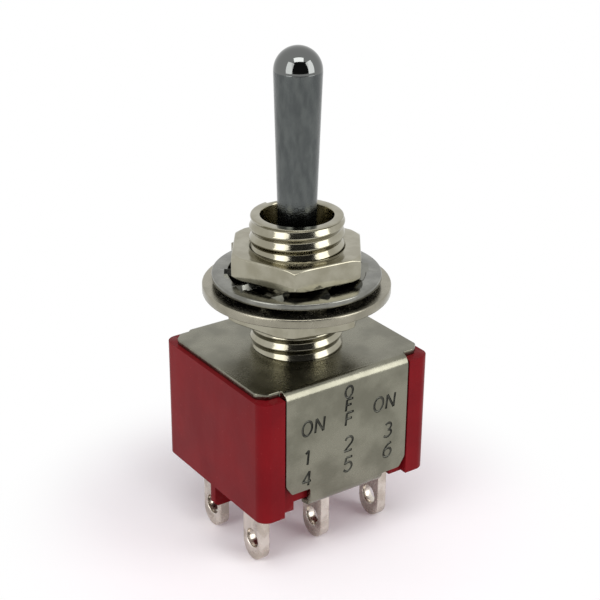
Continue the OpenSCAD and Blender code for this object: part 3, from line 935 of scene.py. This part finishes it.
def direction(turn, rise):
    """A direction turned from the camera's side of the object, and raised, in degrees."""
    turn, rise = math.radians(CAMERA_TURN + turn), math.radians(rise)
    return Vector((math.sin(turn) * math.cos(rise), -math.cos(turn) * math.cos(rise),
                   math.sin(rise)))


def facing(place, target):
    """The matrix of a lamp, card or camera at place that faces target."""
    turn = (target - place).to_track_quat("-Z", "Y")
    return Matrix.Translation(place) @ turn.to_matrix().to_4x4()


def span(degrees, away):
    """The length that fills this many degrees at this distance."""
    return 2 * away * math.tan(math.radians(degrees / 2))


def add_panel(name, turn, rise, wide, tall, radiance):
    """A soft lamp panel that spans wide by tall degrees as the object sees it."""
    lamp = bpy.data.lights.new(name, "AREA")
    lamp.shape = "RECTANGLE"
    lamp.size = span(wide, PANEL_AWAY)
    lamp.size_y = span(tall, PANEL_AWAY)
    lamp.energy = radiance * math.pi * lamp.size * lamp.size_y
    made = bpy.data.objects.new(name, lamp)
    bpy.context.scene.collection.objects.link(made)
    made.matrix_world = facing(MIDDLE + direction(turn, rise) * PANEL_AWAY, MIDDLE)


def add_dark_card(turn, rise, wide, tall):
    """The unlit opening between the lamps, which only reflections show."""
    across, high = span(wide, DARK_CARD_AWAY), span(tall, DARK_CARD_AWAY)
    mesh = bpy.data.meshes.new("dark_opening")
    corners = [(x * across / 2, y * high / 2, 0) for x, y in ((-1, -1), (1, -1), (1, 1), (-1, 1))]
    mesh.from_pydata(corners, [], [(0, 1, 2, 3)])
    card = new_piece("dark_opening", mesh)
    card.matrix_world = facing(MIDDLE + direction(turn, rise) * DARK_CARD_AWAY, MIDDLE)
    material, tree = empty_material("dark_opening")
    glow = add(tree, "ShaderNodeEmission", {"Color": rgba(1, 1, 1),
                                            "Strength": DARK_CARD_GLOW})
    add(tree, "ShaderNodeOutputMaterial", {"Surface": glow.outputs[0]})
    mesh.materials.append(material)
    card.visible_camera = False
    card.visible_diffuse = False
    card.visible_shadow = False


def seen_directly(tree):
    """1 for rays from the camera and for those off shiny or clear surfaces."""
    path = add(tree, "ShaderNodeLightPath").outputs
    either = calc(tree, "MAXIMUM", path["Is Camera Ray"], path["Is Glossy Ray"])
    return calc(tree, "MAXIMUM", either, path["Is Transmission Ray"])


def add_floor():
    """A pale floor that keeps the shadow near the object, under a faint painted glow that lifts
    and tints that shadow, and is white farther off.
    """
    shape = bmesh.new()
    bmesh.ops.create_circle(shape, cap_ends=True, segments=64, radius=1.2)
    floor = piece_of("floor", shape)
    material, tree = empty_material("floor")
    lit = add(tree, "ShaderNodeBsdfDiffuse", {"Color": rgba(*FLOOR_COLOUR)})
    # painted glow, added to the lit floor: it lightens the shadow and tints it purple
    painted_glow = add(tree, "ShaderNodeEmission", {"Color": rgba(*FLOOR_PAINTED_GLOW)})
    near = add(tree, "ShaderNodeAddShader", {0: lit.outputs[0], 1: painted_glow.outputs[0]})
    white = add(tree, "ShaderNodeEmission", {"Color": rgba(1, 1, 1)})
    place = add(tree, "ShaderNodeTexCoord").outputs["Object"]
    away = add(tree, "ShaderNodeVectorMath", {0: place}, operation="LENGTH").outputs["Value"]
    far = remap(tree, away, SHADOW_KEPT, SHADOW_GONE)
    shown = add(tree, "ShaderNodeMixShader", {0: far, 1: near.outputs[0], 2: white.outputs[0]})
    surface = add(tree, "ShaderNodeMixShader", {0: seen_directly(tree), 1: lit.outputs[0],
                                                2: shown.outputs[0]})
    add(tree, "ShaderNodeOutputMaterial", {"Surface": surface.outputs[0]})
    floor.data.materials.append(material)


def add_world():
    """White where it is seen, and a plain level of light on the object."""
    world = bpy.data.worlds.new("studio")
    bpy.context.scene.world = world
    world.use_nodes = True
    tree = world.node_tree
    tree.nodes.clear()
    strength = remap(tree, seen_directly(tree), 0.0, 1.0, WORLD_LIGHT, 1.0, smooth=False)
    glow = add(tree, "ShaderNodeBackground", {"Color": rgba(1, 1, 1), "Strength": strength})
    add(tree, "ShaderNodeOutputWorld", {"Surface": glow.outputs[0]})


def add_camera():
    """The camera, with no depth of field."""
    lens = bpy.data.cameras.new("camera")
    lens.lens = CAMERA_LENS
    lens.shift_x = CAMERA_SHIFT
    lens.shift_y = CAMERA_SHIFT
    lens.clip_start = 0.005
    camera = bpy.data.objects.new("camera", lens)
    bpy.context.scene.collection.objects.link(camera)
    roll = Matrix.Rotation(math.radians(CAMERA_ROLL), 4, "Z")
    camera.matrix_world = facing(CAMERA_PLACE, CAMERA_AIM) @ roll
    bpy.context.scene.camera = camera


def light_the_stage():
    """The world, the floor, the lamps and the dark opening between them."""
    add_world()
    add_floor()
    for name, panel in PANELS.items():
        add_panel(name, *panel)
    add_dark_card(*DARK_CARD)
    bpy.context.scene.view_settings.view_transform = "Standard"


# ---- the whole scene ----

finishes = make_finishes()
make_bushing(finishes)
make_nut("lower_nut", LOWER_NUT, NUT["low_turn"], finishes)
make_nut("upper_nut", UPPER_NUT, NUT["high_turn"], finishes)
make_lock_washer(finishes)
make_lever(finishes)
make_frame(finishes)
make_others(finishes)
dress_hidden_pieces(finishes)
light_the_stage()
add_camera()
